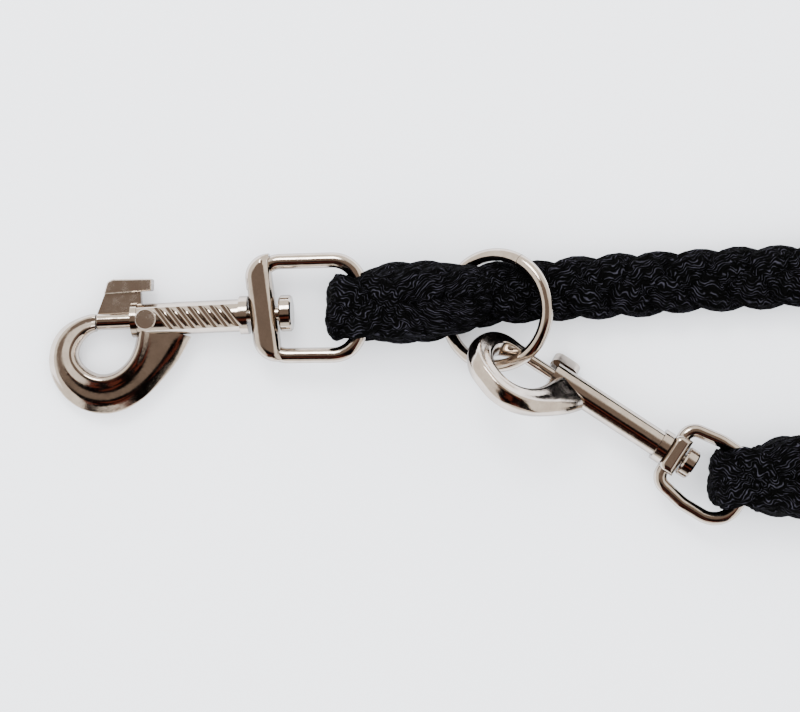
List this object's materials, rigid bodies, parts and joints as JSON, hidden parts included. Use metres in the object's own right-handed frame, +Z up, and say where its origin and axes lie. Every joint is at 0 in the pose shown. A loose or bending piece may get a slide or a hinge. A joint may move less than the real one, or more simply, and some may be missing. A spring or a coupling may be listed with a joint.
{
  "type": "rope halter lead",
  "caption": "Thick plaited rope lead with a swivel bolt snap at each end; the second snap clips to a ring on the rope, so its length can be set.",
  "frame": {"origin": "under the middle of the hardware and splices, on the surface the lead lies on", "axes": "+X from the first snap along the rope, +Z up from the surface"},
  "size_m": [0.6408, 0.1314, 0.0302],
  "materials": {
    "nickel_casting": "bright nickel plate on a zinc casting",
    "nickel_steel": "bright nickel plate on steel",
    "spring_steel": "drawn spring wire",
    "rope_yarn": "plaited polypropylene multifilament yarn",
    "strap": "woven strap"
  },
  "bodies": {
    "rope": {"rope_end_loop_1": "rope_yarn", "rope_splice_1": "rope_yarn", "rope_lead": "rope_yarn", "rope_hank": "rope_yarn", "rope_return": "rope_yarn", "rope_splice_2": "rope_yarn", "rope_end_loop_2": "rope_yarn", "hank_ties": "strap"},
    "eye_1": {"snap_1_eye": "nickel_casting"},
    "snap_1": {"snap_1_body": "nickel_casting", "snap_1_side_plug": "nickel_steel", "snap_1_swivel_rivet": "nickel_steel", "snap_1_spring": "spring_steel"},
    "bolt_1": {"snap_1_bolt": "nickel_steel", "snap_1_trigger": "nickel_casting"},
    "ring": {"ring": "nickel_steel"},
    "eye_2": {"snap_2_eye": "nickel_casting"},
    "snap_2": {"snap_2_body": "nickel_casting", "snap_2_swivel_rivet": "nickel_steel", "snap_2_spring": "spring_steel"},
    "bolt_2": {"snap_2_bolt": "nickel_steel", "snap_2_knob": "nickel_casting"}
  },
  "joints": [
    {"name": "eye_1_swing", "type": "hinge", "parent": "rope", "child": "eye_1", "pos_m": [-0.0277, 0.02506, 0.01076], "axis": [0.0001, 1, 0.0031], "range_deg": [0, 70]},
    {"name": "snap_1_swivel", "type": "hinge", "parent": "eye_1", "child": "snap_1", "pos_m": [-0.0578, 0.02284, 0.0086], "axis": [0.9965, 0.0435, 0.0715], "continuous": true},
    {"name": "bolt_1_slide", "type": "slide", "parent": "snap_1", "child": "bolt_1", "axis": [0.9965, 0.0435, 0.0715], "range_m": [0, 0.0095], "stiffness_N_per_m": 250, "springref_m": -0.006, "deforming": ["snap_1_spring"]},
    {"name": "ring_tilt", "type": "hinge", "parent": "rope", "child": "ring", "pos_m": [-0.00068, 0.02409, 0.002], "axis": [0, -1, 0], "range_deg": [0, 4]},
    {"name": "eye_2_swing", "type": "hinge", "parent": "rope", "child": "eye_2", "pos_m": [0.09123, -0.03437, 0.0091], "axis": [0.5461, 0.8377, 0], "range_deg": [-1, 0]},
    {"name": "snap_2_swivel", "type": "hinge", "parent": "eye_2", "child": "snap_2", "pos_m": [0.0702, -0.02066, 0.0091], "axis": [0.8377, -0.5461, 0], "range_deg": [-10, 0]},
    {"name": "bolt_2_slide", "type": "slide", "parent": "snap_2", "child": "bolt_2", "axis": [0.8377, -0.5461, 0], "range_m": [0, 0.008], "stiffness_N_per_m": 250, "springref_m": -0.006, "deforming": ["snap_2_spring"]}
  ]
}
